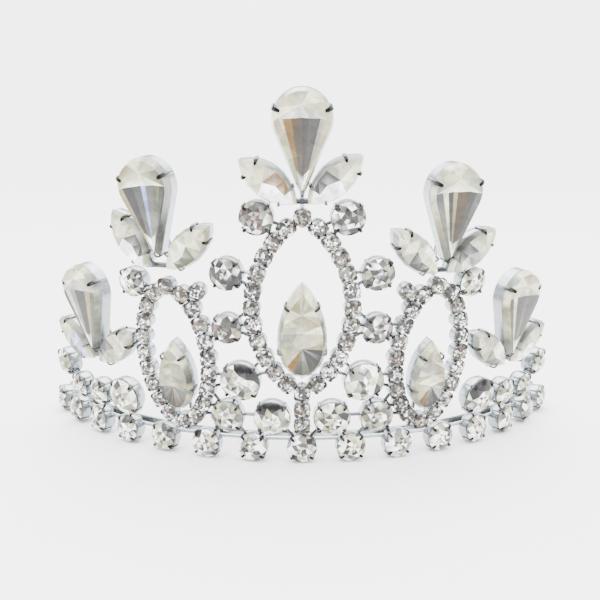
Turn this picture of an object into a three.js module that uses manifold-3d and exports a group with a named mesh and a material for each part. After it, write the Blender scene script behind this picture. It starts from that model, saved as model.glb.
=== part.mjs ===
// Bridal tiara: an open, rigid arc of claw-set crystals soldered cup to cup.
// Five motifs stand on a row of round stones: a tall one at the centre, one each side of it,
// and a low one near each end. Millimetres, +Z up, the front faces -Y, the wearer's head is on
// the +Y side. Every stone sits on one cone that opens upwards, so the arc flares outwards.
import * as THREE from 'three';
import { mergeVertices, mergeGeometries } from 'three/addons/utils/BufferGeometryUtils.js';
import Module from 'manifold-3d';

const wasm = await Module();
wasm.setup();

const degrees = Math.PI / 180;

// Driving dimensions: the arc
const arcRadius = 80; // from the head's axis to the girdles of the base-row stones
const flare = 10 * degrees; // lean of the whole arc outwards from upright
const basePitch = 8.8 * degrees; // angle between neighbouring base-row stones
const baseStonesEachSide = 7;
const baseHalf = 3.7; // half height of a base-row cup, which stands on its flat underside
const bandEnd = 66 * degrees; // the rear band runs this far round each side

// Driving dimensions: the stones, as outlines seen from the front
const pear = { radius: 6.7, tip: 17.5, crown: 2, depth: 3.2, table: 0.6, back: 0.5 };
const leaf = { half: 8, width: 3.8, crown: 1.5, depth: 2.4, table: 0.55, back: 0.5 };
const chainStone = 2.15; // circumradius of a small chain cup
const chainPitch = 4.35; // spacing along a chain
const girdle = 0.3; // half thickness of a stone at its widest

// Driving dimensions: the cups that hold them
const cupTop = -1.05; // front edge of a cup, behind the girdle
const cupInset = 0.15; // cup wall inside the stone's outline
const cupWall = 0.4;
const cupFloor = 0.45;
const gap = 0.3; // clearance between separate pieces
const ribLevel = -5; // rear ribs lie behind the backs of the cups
const ribThick = 0.7;

// Each motif: angle round the arc, height of its joint up the cone, height and sideways shift
// of its pear, the pear's lean outwards, and for its left and right leaf the distance of the
// root from the centre line and the lift. They are bent by hand, so no two are quite alike.
const motifs = [
  { name: 'centre', angle: 0, joint: 60.6, pearUp: 80.2, shift: 0, lean: 0,
    leaves: [[1.3, 38], [1.3, 42]], loop: 'tall' },
  { name: 'left', angle: -21.8, joint: 44.6, pearUp: 65.4, shift: 0, lean: 5,
    leaves: [[3.9, 60], [1.3, 43]], loop: 'short' },
  { name: 'right', angle: 21.8, joint: 43.5, pearUp: 64, shift: 1, lean: 0,
    leaves: [[1.3, 42], [1.6, 40]], loop: 'short' },
  { name: 'far_left', angle: -39.5, joint: 17.8, pearUp: 38, shift: 1.2, lean: 4,
    leaves: [[1.6, 37], [1.7, 36]] },
  { name: 'far_right', angle: 39.5, joint: 16.8, pearUp: 36.4, shift: 0, lean: 1.5,
    leaves: [[1.3, 38], [1.9, 36]] },
];
const leafRootUp = 1.1; // height of a leaf's lower end above the joint

// Chain loops: heights of top and bottom up the cone, half width, and how full the curve is
// (1 would be nearly pointed at both ends, 0.5 is an ellipse)
const loops = {
  tall: { top: 58.3, bottom: 14.9, half: 11.9, bow: 0.75 },
  short: { top: 41.2, bottom: 5.3, half: 8.9, bow: 0.55 },
};
const stemStones = [10.4, 6.05]; // small stones from the tall loop down to the base row
const linkStone = { angle: 16.6, up: 40.2 }; // joins a short loop's shoulder to its round stone

// Drops hang point up inside the loops: widest height, tip above it, end below it, half width
const drops = {
  tall: { up: 28.9, tip: 13.9, end: 9.4, half: 5.9 },
  short: { up: 17.2, tip: 10.3, end: 8, half: 4.5 },
};
const dropCut = { crown: 2, depth: 3, table: 0.55, back: 0.5 };

// Round stones in their cups, one each side: angle, height up the cone and radius
const rounds = [
  { name: 'flank', angle: 6.6, up: 58.3, radius: 4.1 },
  { name: 'bridge_upper', angle: 11.6, up: 44.9, radius: 4.1 },
  { name: 'bridge_lower', angle: 12.1, up: 31.3, radius: 3.85 },
  { name: 'shoulder', angle: 28.15, up: 41.6, radius: 3.8 },
  { name: 'bay_inner', angle: 10.4, up: 17.6, radius: 5.1 },
  { name: 'gallery_inner', angle: 5.2, up: 8.0, radius: 4.7 },
  { name: 'gallery_middle', angle: 13.1, up: 8.0, radius: 4.3 },
  { name: 'bay_outer', angle: 34.5, up: 9.4, radius: 5.1 },
  { name: 'gallery_outer', angle: 41.7, up: 8.7, radius: 3.8 },
  { name: 'gallery_end', angle: 48.5, up: 8.5, radius: 3.6 },
  { name: 'end_crest', angle: 53, up: 14.2, radius: 4 },
];
const roundSides = 10;

const silver = new THREE.MeshStandardMaterial({ color: 0xd9dadc, roughness: 0.22, metalness: 1 });
const crystal = new THREE.MeshStandardMaterial({ color: 0xe9e9e2, roughness: 0.05, metalness: 0.1 });
const chainMix = new THREE.MeshStandardMaterial({ color: 0xc9c7c4, roughness: 0.15, metalness: 0.6 });

const tiara = new THREE.Group();

// ---- places on the cone ----

// The frame at an angle round the arc and a height up the cone: x across, y up, z outwards.
function seat(angle, up) {
  const radius = arcRadius + up * Math.sin(flare);
  const radial = new THREE.Vector3(Math.sin(angle), -Math.cos(angle), 0);
  const across = new THREE.Vector3(Math.cos(angle), Math.sin(angle), 0);
  const rise = radial.clone().multiplyScalar(Math.sin(flare));
  rise.z = Math.cos(flare);
  const outwards = across.clone().cross(rise);
  const matrix = new THREE.Matrix4().makeBasis(across, rise, outwards);
  const place = radial.multiplyScalar(radius);
  place.z = baseHalf + up * Math.cos(flare);
  return matrix.setPosition(place);
}

// The same frame, found from a motif's centre line and a distance across from it.
function seatAcross(angle, across, up, turn = 0) {
  const radius = arcRadius + up * Math.sin(flare);
  const matrix = seat(angle + across / radius, up);
  return matrix.multiply(new THREE.Matrix4().makeRotationZ(turn));
}

// ---- solids ----

// Stacks closed outlines, each a list of points at a level, and closes both ends.
function loft(rings) {
  const count = rings[0].outline.length;
  const positions = [];
  const index = [];
  for (const { outline, level } of rings) {
    for (const point of outline) positions.push(point.x, point.y, level);
  }
  for (let ring = 0; ring + 1 < rings.length; ring++) {
    for (let k = 0; k < count; k++) {
      const a = ring * count + k;
      const b = ring * count + ((k + 1) % count);
      index.push(a, b, b + count, a, b + count, a + count);
    }
  }
  const last = (rings.length - 1) * count;
  for (let k = 1; k + 1 < count; k++) {
    index.push(0, k + 1, k);
    index.push(last, last + k, last + k + 1);
  }
  const geometry = new THREE.BufferGeometry();
  geometry.setAttribute('position', new THREE.Float32BufferAttribute(positions, 3));
  geometry.setIndex(index);
  return geometry;
}

const scaled = (outline, factor) => outline.map((point) => point.clone().multiplyScalar(factor));

// Moves each point of an outline inwards along the mean normal of its two sides.
function inset(outline, distance) {
  const count = outline.length;
  return outline.map((point, k) => {
    const before = point.clone().sub(outline[(k + count - 1) % count]).normalize();
    const after = outline[(k + 1) % count].clone().sub(point).normalize();
    const along = before.add(after).normalize();
    return new THREE.Vector2(point.x - along.y * distance, point.y + along.x * distance);
  });
}

const placed = (geometry, matrix) => geometry.clone().applyMatrix4(matrix);

function toManifold(geometry) {
  const bare = geometry.clone();
  for (const name of Object.keys(bare.attributes)) {
    if (name !== 'position') bare.deleteAttribute(name);
  }
  const merged = mergeVertices(bare, 1e-4);
  const vertProperties = new Float32Array(merged.attributes.position.array);
  const triVerts = new Uint32Array(merged.index.array);
  return new wasm.Manifold(new wasm.Mesh({ numProp: 3, vertProperties, triVerts }));
}

function joined(geometries) {
  let solid = toManifold(geometries[0]);
  for (const geometry of geometries.slice(1)) solid = solid.add(toManifold(geometry));
  const mesh = solid.getMesh();
  const result = new THREE.BufferGeometry();
  result.setAttribute('position', new THREE.Float32BufferAttribute(mesh.vertProperties, 3));
  result.setIndex([...mesh.triVerts]);
  return result;
}

function addNode(name, geometry, material, matrix) {
  const flat = geometry.toNonIndexed();
  flat.computeVertexNormals();
  const mesh = new THREE.Mesh(flat, material);
  mesh.name = name;
  if (matrix) matrix.decompose(mesh.position, mesh.quaternion, mesh.scale);
  tiara.add(mesh);
}

// ---- outlines, anticlockwise from the front ----

// Round end above, straight sides drawn in to a point below; the origin is the round's centre.
function pearOutline({ radius, tip }, arcSteps = 10, sideSteps = 2) {
  const tangent = Math.asin(radius / tip);
  const points = [];
  for (let k = 0; k <= arcSteps; k++) {
    const turn = -tangent + ((Math.PI + 2 * tangent) * k) / arcSteps;
    points.push(new THREE.Vector2(Math.cos(turn), Math.sin(turn)).multiplyScalar(radius));
  }
  const blunt = new THREE.Vector2(-0.5, -tip + 1.3);
  for (let k = 1; k <= sideSteps; k++) {
    points.push(points[arcSteps].clone().lerp(blunt, k / sideSteps));
  }
  for (let k = sideSteps; k > 0; k--) {
    const mate = points[arcSteps + k];
    points.push(new THREE.Vector2(-mate.x, mate.y));
  }
  return points;
}

// Half width of a shape bounded by two equal arcs that meet in a point at the given half height.
function arcHalf(halfHeight, halfWidth, height) {
  const radius = (halfHeight ** 2 + halfWidth ** 2) / (2 * halfWidth);
  return Math.sqrt(radius ** 2 - height ** 2) - (radius - halfWidth);
}

function leafOutline({ half, width }, steps = 6) {
  const side = [];
  for (let k = 0; k < steps; k++) {
    const height = -half * Math.cos((Math.PI * k) / steps);
    side.push(new THREE.Vector2(Math.max(0, arcHalf(half, width, height)), height));
  }
  return [...side, ...side.map((point) => point.clone().negate())];
}

function dropOutline({ tip, end, half }, steps = 5) {
  const right = [];
  for (let k = 0; k <= steps; k++) {
    const turn = (Math.PI / 2) * (1 - k / steps);
    right.push(new THREE.Vector2(half * Math.cos(turn), -end * Math.sin(turn)));
  }
  for (let k = 1; k < steps; k++) {
    const height = tip * Math.sin(((Math.PI / 2) * k) / steps);
    right.push(new THREE.Vector2(arcHalf(tip, half, height), height));
  }
  const left = right.slice(1).reverse().map((point) => new THREE.Vector2(-point.x, point.y));
  return [...right, new THREE.Vector2(0, tip), ...left];
}

function discOutline(radius, sides) {
  const points = [];
  for (let k = 0; k < sides; k++) {
    const turn = (2 * Math.PI * (k + 0.5)) / sides - Math.PI / 2;
    points.push(new THREE.Vector2(Math.cos(turn), Math.sin(turn)).multiplyScalar(radius));
  }
  return points;
}

// ---- stones, cups and prongs ----

function gem(outline, { crown, depth, table, back }) {
  return loft([
    { outline: scaled(outline, back), level: -girdle - depth * (1 - back) * 1.1 },
    { outline, level: -girdle },
    { outline, level: girdle },
    { outline: scaled(outline, table), level: girdle + crown },
  ]);
}

const keelLevel = ({ depth, back }) => -girdle - depth * (1 - back) * 1.1;

function cup(outline, cut) {
  const floor = keelLevel(cut) - gap;
  const outer = inset(outline, cupInset);
  const inner = inset(outline, cupInset + cupWall);
  return loft([
    { outline: outer, level: floor - cupFloor },
    { outline: outer, level: cupTop },
    { outline: inner, level: cupTop },
    { outline: inner, level: floor },
  ]);
}

// A claw from the cup's wall, round the girdle and over the crown's edge. Its own frame has x
// outwards from the stone's outline and z towards the front.
function prong(width, crownSlope) {
  const reach = 0.9;
  const under = girdle + crownSlope * reach + gap;
  const profile = [
    [-0.4, -2.1], [0.4, -1.9], [0.75, -1.2], [0.75, 0.6], [0.4, under],
    [-reach, under + 0.45], [-reach, under], [0.3, girdle + 0.15], [0.3, -0.8], [-0.4, -1.2],
  ];
  const shape = new THREE.Shape(profile.map(([x, y]) => new THREE.Vector2(x, y)));
  const geometry = new THREE.ExtrudeGeometry(shape, { depth: width, bevelEnabled: false, steps: 1 });
  geometry.translate(0, 0, -width / 2);
  return geometry.rotateX(Math.PI / 2);
}

function prongAt(x, y, facing, width, crownSlope) {
  const matrix = new THREE.Matrix4().makeRotationZ(facing);
  return placed(prong(width, crownSlope), matrix.setPosition(x, y, 0));
}

function pearSetting(outline) {
  const slope = pear.crown / (pear.radius * (1 - pear.table));
  const pieces = [cup(outline, pear)];
  for (const facing of [22 * degrees, 158 * degrees]) {
    const x = pear.radius * Math.cos(facing);
    const y = pear.radius * Math.sin(facing);
    pieces.push(prongAt(x, y, facing, 1, slope));
  }
  pieces.push(prongAt(0, -pear.tip + 1.3, -Math.PI / 2, 0.9, slope / 2.2));
  pieces.push(rib(-pear.tip + 4, -pear.tip - 4, keelLevel(pear) - gap - cupFloor));
  return joined(pieces);
}

// A flat rib down the motif's centre line, with a foot that reaches the back of its cup.
function rib(top, bottom, cupBack) {
  const bar = new THREE.BoxGeometry(1.6, top - bottom, ribThick);
  bar.translate(0, (top + bottom) / 2, ribLevel);
  const foot = new THREE.BoxGeometry(1.6, 2, cupBack + 0.2 - ribLevel);
  foot.translate(0, top - 1, (cupBack + 0.2 + ribLevel) / 2);
  return joined([bar, foot]);
}

function leafSetting() {
  const outline = leafOutline(leaf);
  const slope = leaf.crown / (leaf.width * (1 - leaf.table));
  const arc = (leaf.half ** 2 + leaf.width ** 2) / (2 * leaf.width);
  const height = leaf.half * 0.62;
  const x = arcHalf(leaf.half, leaf.width, height);
  const facing = Math.atan2(height, x + arc - leaf.width);
  return joined([
    cup(outline, leaf),
    prongAt(x, height, facing, 0.8, slope),
    prongAt(-x, height, Math.PI - facing, 0.8, slope),
  ]);
}

function dropSetting(outline, size) {
  const slope = dropCut.crown / (size.half * (1 - dropCut.table));
  const arc = (size.tip ** 2 + size.half ** 2) / (2 * size.half);
  const height = size.tip * 0.62;
  const x = arcHalf(size.tip, size.half, height);
  const facing = Math.atan2(height, x + arc - size.half);
  const low = -18 * degrees;
  const lowX = size.half * Math.cos(low);
  const lowY = size.end * Math.sin(low);
  const lowFacing = Math.atan2(lowY / size.end ** 2, lowX / size.half ** 2);
  return joined([
    cup(outline, dropCut),
    prongAt(x, height, facing, 0.8, slope),
    prongAt(-x, height, Math.PI - facing, 0.8, slope),
    prongAt(lowX, lowY, lowFacing, 0.8, slope),
    prongAt(-lowX, lowY, Math.PI - lowFacing, 0.8, slope),
    rib(-size.end + 3, -size.end - 2.6, keelLevel(dropCut) - gap - cupFloor),
  ]);
}

// A round stone in its cup, as one solid.
function roundUnit(radius, sides, depth = 3.6) {
  const outline = discOutline(radius, sides);
  return loft([
    { outline: scaled(outline, 0.85), level: -depth },
    { outline, level: -depth + 1.2 },
    { outline, level: 0.2 },
    { outline: scaled(outline, 0.55), level: 0.2 + radius * 0.33 },
  ]);
}

// ---- assemblies ----

function addPear(motif) {
  const outline = pearOutline(pear);
  const sign = Math.sign(motif.angle) || 1;
  const turn = -sign * motif.lean * degrees;
  const place = seatAcross(motif.angle * degrees, motif.shift, motif.joint, turn);
  place.multiply(new THREE.Matrix4().makeTranslation(0, motif.pearUp - motif.joint, 0));
  addNode(`${motif.name}_pear_stone`, gem(outline, pear), crystal, place);
  addNode(`${motif.name}_pear_setting`, pearSetting(outline), silver, place);
}

function addLeaves(motif) {
  const setting = leafSetting();
  const stone = gem(leafOutline(leaf), leaf);
  const middle = seat(motif.angle * degrees, motif.joint);
  const toMiddle = middle.clone().invert();
  const cups = motif.leaves.map(([root, lift], side) => {
    const sign = side === 0 ? -1 : 1;
    const rise = lift * degrees;
    const turn = -sign * (Math.PI / 2 - rise);
    const across = sign * (root + leaf.half * Math.cos(rise));
    const up = motif.joint + leafRootUp + leaf.half * Math.sin(rise);
    const place = seatAcross(motif.angle * degrees, across, up, turn);
    addNode(`${motif.name}_leaf_stone_${sign < 0 ? 'a' : 'b'}`, stone, crystal, place);
    return placed(setting, toMiddle.clone().multiply(place));
  });
  const back = keelLevel(leaf) - gap - cupFloor;
  const [left, right] = motif.leaves.map(([root]) => root + 1.5);
  const bridge = new THREE.BoxGeometry(left + right, 1.7, 0.8);
  bridge.translate((right - left) / 2, leafRootUp, back + 0.1);
  addNode(`${motif.name}_leaf_setting`, joined([...cups, bridge]), silver, middle);
}

// Points round a loop at equal steps, from the top down one side and up the other.
function loopPoints({ top, bottom, half, bow }) {
  const fine = 400;
  const right = [];
  for (let k = 0; k <= fine; k++) {
    const turn = (Math.PI * k) / fine;
    const up = (top + bottom) / 2 + ((top - bottom) / 2) * Math.cos(turn);
    right.push(new THREE.Vector2(half * Math.sin(turn) ** (2 * bow), up));
  }
  const left = right.slice(1, -1).reverse().map((point) => new THREE.Vector2(-point.x, point.y));
  const ring = [...right, ...left, right[0]];
  const lengths = [0];
  for (let k = 1; k < ring.length; k++) {
    lengths.push(lengths[k - 1] + ring[k].distanceTo(ring[k - 1]));
  }
  const total = lengths[lengths.length - 1];
  const count = 2 * Math.round(total / chainPitch / 2);
  const points = [];
  for (let step = 0, k = 0; step < count; step++) {
    while (lengths[k + 1] < (total * step) / count) k++;
    const along = ((total * step) / count - lengths[k]) / (lengths[k + 1] - lengths[k]);
    const point = ring[k].clone().lerp(ring[k + 1], along);
    const heading = ring[k + 1].clone().sub(ring[k]);
    points.push({ x: point.x, up: point.y, turn: Math.atan2(heading.y, heading.x) });
  }
  return points;
}

// A small chain cup with its stone.
function chainUnit() {
  const outline = discOutline(chainStone, 8);
  return loft([
    { outline, level: -2.7 },
    { outline, level: 0.1 },
    { outline: scaled(outline, 0.5), level: 0.9 },
  ]);
}

// The short bar that ties one chain cup to another.
function chainLink(angle, one, other) {
  const across = other.x - one.x;
  const rise = other.up - one.up;
  const bar = new THREE.BoxGeometry(Math.hypot(across, rise) - 2, 1.3, 0.7).translate(0, 0, -1.7);
  const middle = [(one.x + other.x) / 2, (one.up + other.up) / 2];
  return placed(bar, seatAcross(angle, ...middle, Math.atan2(rise, across)));
}

function addLoop(motif) {
  const angle = motif.angle * degrees;
  const units = loopPoints(loops[motif.loop]);
  const ties = units.map((one, k) => [one, units[(k + 1) % units.length]]);
  if (motif.loop === 'tall') {
    let above = units[units.length / 2];
    for (const up of stemStones) {
      const next = { x: 0, up, turn: 0 };
      ties.push([above, next]);
      units.push(next);
      above = next;
    }
  } else {
    const side = Math.sign(motif.angle);
    const radius = arcRadius + linkStone.up * Math.sin(flare);
    const x = side * (linkStone.angle - Math.abs(motif.angle)) * degrees * radius;
    const link = { x, up: linkStone.up, turn: Math.PI / 4 };
    const shoulder = side < 0 ? units[1] : units[units.length - 1];
    ties.push([link, shoulder]);
    units.push(link);
  }
  const unit = chainUnit();
  const solids = units.map(({ x, up, turn }) => placed(unit, seatAcross(angle, x, up, turn)));
  for (const [one, other] of ties) solids.push(chainLink(angle, one, other));
  addNode(`${motif.name}_loop_chain`, joined(solids), chainMix);
}

function addDrop(motif) {
  const size = drops[motif.loop];
  const outline = dropOutline(size);
  const place = seatAcross(motif.angle * degrees, 0, size.up);
  addNode(`${motif.name}_drop_stone`, gem(outline, dropCut), crystal, place);
  addNode(`${motif.name}_drop_setting`, dropSetting(outline, size), silver, place);
}

function addRounds() {
  for (const { name, angle, up, radius } of rounds) {
    for (const side of [-1, 1]) {
      const place = seat(side * angle * degrees, up);
      const label = side < 0 ? 'left' : 'right';
      addNode(`${name}_round_${label}`, roundUnit(radius, roundSides), crystal, place);
    }
  }
}

// A bar of rectangular section along the arc, between two angles, at a radius and a height.
function arcBar(radius, height, width, tall, from, to, steps) {
  const inner = [];
  const outer = [];
  for (let k = 0; k <= steps; k++) {
    const angle = from + ((to - from) * k) / steps;
    const ray = new THREE.Vector2(Math.sin(angle), -Math.cos(angle));
    inner.push(ray.clone().multiplyScalar(radius - width / 2));
    outer.push(ray.clone().multiplyScalar(radius + width / 2));
  }
  const shape = new THREE.Shape([...outer, ...inner.reverse()]);
  const bar = new THREE.ExtrudeGeometry(shape, { depth: tall, bevelEnabled: false, steps: 1 });
  return bar.translate(0, 0, height);
}

// Base row: upright cups on their flat undersides, threaded on one thin wire.
function addBaseRow() {
  const last = baseStonesEachSide;
  const wire = arcBar(arcRadius - 2.2, baseHalf + 1.2, 1, 1, -last * basePitch, last * basePitch, 28);
  const solids = [wire];
  const unit = roundUnit(baseHalf / Math.cos(Math.PI / roundSides), roundSides);
  for (let k = -last; k <= last; k++) {
    const angle = k * basePitch;
    const radial = new THREE.Vector3(Math.sin(angle), -Math.cos(angle), 0);
    const across = new THREE.Vector3(Math.cos(angle), Math.sin(angle), 0);
    const place = new THREE.Matrix4().makeBasis(across, new THREE.Vector3(0, 0, 1), radial);
    place.setPosition(radial.multiplyScalar(arcRadius).setZ(baseHalf));
    solids.push(placed(unit, place));
  }
  addNode('base_row', joined(solids), chainMix);
}

// Rear band behind the base row, with an eye at each end for a hairpin.
function addBand() {
  const radius = arcRadius - 5.2;
  const low = baseHalf + 0.4;
  const tall = 2;
  const solids = [arcBar(radius, low, 1, tall, -bandEnd, bandEnd, 28)];
  for (const side of [-1, 1]) {
    const eye = eyeRing(2.6, 1.5, tall);
    const angle = side * (bandEnd + 1.5 * degrees);
    eye.translate(Math.sin(angle) * (radius - 0.6), -Math.cos(angle) * (radius - 0.6), low);
    solids.push(eye);
  }
  addNode('rear_band', joined(solids), silver);
}

function eyeRing(outerRadius, innerRadius, tall) {
  const profile = [
    new THREE.Vector2(innerRadius, 0),
    new THREE.Vector2(outerRadius, 0),
    new THREE.Vector2(outerRadius, tall),
    new THREE.Vector2(innerRadius, tall),
    new THREE.Vector2(innerRadius, 0),
  ];
  return new THREE.LatheGeometry(profile, 14).rotateX(Math.PI / 2).translate(0, 0, tall);
}

for (const motif of motifs) {
  addPear(motif);
  addLeaves(motif);
  if (motif.loop) {
    addLoop(motif);
    addDrop(motif);
  }
}
addRounds();
addBaseRow();
addBand();

// The origin is below the middle of the whole tiara, on the surface that it stands on.
const box = new THREE.Box3().setFromObject(tiara, true);
tiara.position.set(-(box.min.x + box.max.x) / 2, -(box.min.y + box.max.y) / 2, -box.min.z);

export default tiara;
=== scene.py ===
"""Bridal tiara: the looks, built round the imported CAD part. Lengths here are millimetres and are
turned into metres when a mesh is made."""
import math
import random

import bmesh
import bpy
from mathutils import Matrix, Vector


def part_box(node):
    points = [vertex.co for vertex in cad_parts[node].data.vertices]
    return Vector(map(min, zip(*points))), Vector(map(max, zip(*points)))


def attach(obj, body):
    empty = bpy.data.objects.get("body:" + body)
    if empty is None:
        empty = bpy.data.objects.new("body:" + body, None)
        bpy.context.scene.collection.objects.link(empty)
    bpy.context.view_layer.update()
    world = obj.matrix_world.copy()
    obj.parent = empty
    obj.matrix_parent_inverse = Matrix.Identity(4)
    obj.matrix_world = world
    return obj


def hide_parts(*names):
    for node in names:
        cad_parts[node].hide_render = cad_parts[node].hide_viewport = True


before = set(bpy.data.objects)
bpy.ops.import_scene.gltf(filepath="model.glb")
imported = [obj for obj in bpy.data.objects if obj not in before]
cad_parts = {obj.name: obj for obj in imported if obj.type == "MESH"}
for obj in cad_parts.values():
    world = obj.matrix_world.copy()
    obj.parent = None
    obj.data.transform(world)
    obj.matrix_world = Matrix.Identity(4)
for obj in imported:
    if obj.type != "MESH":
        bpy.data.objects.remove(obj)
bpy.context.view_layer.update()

# ---- driving dimensions, the same as the CAD part's ----

M_PER_MM, MM_PER_M = 0.001, 1000

ARC = 80.0  # radius of the arc at the base row
FLARE = math.radians(10)  # outward lean of the cone that the tiara stands on
BASE_PITCH = math.radians(8.8)
BASE_EACH_SIDE = 7
BASE_HALF = 3.7
BAND_END = math.radians(66)

# A round stone in the CAD part: its girdle, its crown's rise for each mm of radius, and half the
# turn from corner to corner.
GIRDLE, CROWN_RISE, CORNER = 0.2, 0.33, math.radians(18)

# The arc's axis, measured back from the front of the base row.
AXIS_Y = (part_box("base_row")[0].y * MM_PER_M + ARC + GIRDLE
          + CROWN_RISE * BASE_HALF / math.cos(CORNER))

PEAR_R, PEAR_TIP = 6.7, 17.5
LEAF_HALF, LEAF_WIDTH = 8.0, 3.8
CHAIN_R, CHAIN_PITCH = 2.15, 4.35
LEAF_ROOT_UP = 1.1

# angle: degrees from the front. joint, pear_up: heights up the cone of the leaves' junction and the
# middle of the pear's round end. shift, lean: the pear's, in mm and degrees. leaves: the left and
# the right one's root distance and rise in degrees.
MOTIFS = [
    dict(name="centre", angle=0, joint=60.6, pear_up=80.2, shift=0, lean=0,
         leaves=[(1.3, 38), (1.3, 42)], loop="tall"),
    dict(name="left", angle=-21.8, joint=44.6, pear_up=65.4, shift=0, lean=5,
         leaves=[(3.9, 60), (1.3, 43)], loop="short"),
    dict(name="right", angle=21.8, joint=43.5, pear_up=64, shift=1, lean=0,
         leaves=[(1.3, 42), (1.6, 40)], loop="short"),
    dict(name="far_left", angle=-39.5, joint=17.8, pear_up=38, shift=1.2, lean=4,
         leaves=[(1.6, 37), (1.7, 36)], loop=None),
    dict(name="far_right", angle=39.5, joint=16.8, pear_up=36.4, shift=0, lean=1.5,
         leaves=[(1.3, 38), (1.9, 36)], loop=None),
]
# half: half the width. bow: below 1, the sides are fuller than an ellipse's.
LOOPS = {
    "tall": dict(top=58.3, bottom=14.9, half=11.9, bow=0.75),
    "short": dict(top=41.2, bottom=5.3, half=8.9, bow=0.55),
}
STEM = [10.4, 6.05]  # heights of the two chain cups under the tall loop
LINK = (16.6, 40.2)  # degrees from the front and height of the chain cup beside each low loop

# up: height of the widest place. tip, end: reach above and below it.
DROPS = {
    "tall": dict(up=28.9, tip=13.9, end=9.4, half=5.9),
    "short": dict(up=17.2, tip=10.3, end=8.0, half=4.5),
}

# Name, degrees from the front, height up the cone, radius.
ROUNDS = [
    ("flank", 6.6, 58.3, 4.1), ("bridge_upper", 11.6, 44.9, 4.1),
    ("bridge_lower", 12.1, 31.3, 3.85), ("shoulder", 28.15, 41.6, 3.8),
    ("bay_inner", 10.4, 17.6, 5.1), ("gallery_inner", 5.2, 8.0, 4.7),
    ("gallery_middle", 13.1, 8.0, 4.3), ("bay_outer", 34.5, 9.4, 5.1),
    ("gallery_outer", 41.7, 8.7, 3.8), ("gallery_end", 48.5, 8.5, 3.6),
    ("end_crest", 53, 14.2, 4.0),
]

# ---- tones ----

STUDIO = 4.2  # brightness of a white surface in the studio
MIDDLE, CONTRAST = 0.1965, 1.174  # brightness that looks mid-grey, and how steeply looks follow it
LIGHTEST_LOOK, TOP_REFLECTANCE = 0.98, 0.97


def tone(code):
    """A colour written as it looks under the studio's light, turned into a reflectance."""
    looks = [min(int(code[i:i + 2], 16) / 255, LIGHTEST_LOOK) for i in (0, 2, 4)]
    return tuple(min(TOP_REFLECTANCE, MIDDLE / (1 / v - 1) ** CONTRAST / STUDIO) for v in looks)


def mix(a, b, t):
    return tuple(x * (1 - t) + y * t for x, y in zip(a, b))


# On the stones these tones are painted reflections; on the metal the darker ones are painted shade.
BLACK = tone("26262a")
COAL = tone("4a4a49")
SLATE = tone("646561")
GREY = tone("94958f")
PALE = tone("c6c8c2")
WHITE = tone("f4f4f2")
IVORY = tone("d5d4c3")
CREAM = tone("e3e3da")
SAND = tone("c6bf9c")
AMBER = tone("b08c1c")
BROWN = tone("6c5630")
MAUVE = tone("85706c")
ROSE = tone("c2b0a6")
OLIVE = tone("8a8d62")
BLUE = tone("c8d0e2")
SILVER = tone("dddfe0")
STEEL = tone("a9acae")
# Painted shade on the claws' tips, over the stones.
CLAW_TIP_SHADE = tone("2e2e2e")

# ---- places on the cone ----


def compass(angle):
    """The level directions outwards and across, at an angle from the front."""
    return (Vector((math.sin(angle), -math.cos(angle), 0)),
            Vector((math.cos(angle), math.sin(angle), 0)))


def seat(angle, up):
    """A place on the cone: x runs across, y up the cone and z outwards."""
    radius = ARC + up * math.sin(FLARE)
    radial, across = compass(angle)
    rise = radial * math.sin(FLARE) + Vector((0, 0, math.cos(FLARE)))
    outwards = across.cross(rise)
    place = radial * radius + Vector((0, AXIS_Y, BASE_HALF + up * math.cos(FLARE)))
    return basis(across, rise, outwards, place)


def basis(x, y, z, place):
    matrix = Matrix((x, y, z)).transposed().to_4x4()
    matrix.translation = place
    return matrix


def seat_across(angle, across, up, turn=0.0):
    """A place on the cone, some mm across from an angle, turned about the outward direction."""
    radius = ARC + up * math.sin(FLARE)
    return seat(angle + across / radius, up) @ Matrix.Rotation(turn, 4, "Z")


# ---- mesh building ----

GEM, METAL = 0, 1  # material indices
SHARP = math.radians(38)  # edges that turn by more than this stay crisp


class Piece:
    """Collects faces, each with a material and a tone for each corner, and makes one object."""

    def __init__(self):
        self.bm = bmesh.new()
        # The tone layer: painted reflections on the stones, the silver and its painted shade on the
        # metal.
        self.layer = self.bm.loops.layers.float_color.new("tone")

    def add(self, points, faces, place, material, smooth=False):
        verts = [self.bm.verts.new(place @ Vector(p) * M_PER_MM) for p in points]
        for corners, tones in faces:
            face = self.bm.faces.new([verts[c] for c in corners])
            face.material_index = material
            face.smooth = smooth
            if isinstance(tones[0], (int, float)):
                tones = [tones] * len(corners)
            for loop, colour in zip(face.loops, tones):
                loop[self.layer] = (*colour, 1)

    def finish(self, node, name=None):
        name = name or node + "_detail"
        bmesh.ops.recalc_face_normals(self.bm, faces=self.bm.faces)
        mesh = bpy.data.meshes.new(name)
        self.bm.to_mesh(mesh)
        self.bm.free()
        mesh.set_sharp_from_angle(angle=SHARP)
        for material in (crystal, silver):
            mesh.materials.append(material)
        obj = bpy.data.objects.new(name, mesh)
        bpy.context.scene.collection.objects.link(obj)
        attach(obj, "root")
        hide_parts(node)
        return obj


def loft(piece, rings, place, tones):
    """A smooth metal skin over rings of equally many points, closed at both ends.
    tones: one colour for each ring."""
    count = len(rings[0])
    points = [p for ring in rings for p in ring]
    faces = []
    for r in range(len(rings) - 1):
        for k in range(count):
            a, b = r * count + k, r * count + (k + 1) % count
            near, far = tones[r], tones[r + 1]
            faces.append(((a, b, b + count, a + count), (near, near, far, far)))
    last = (len(rings) - 1) * count
    faces.append((tuple(range(count - 1, -1, -1)), tones[0]))
    faces.append((tuple(range(last, last + count)), tones[-1]))
    piece.add(points, faces, place, METAL, smooth=True)


def ring(outline, level, factor=1.0):
    return [(x * factor, y * factor, level) for x, y in outline]


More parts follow.
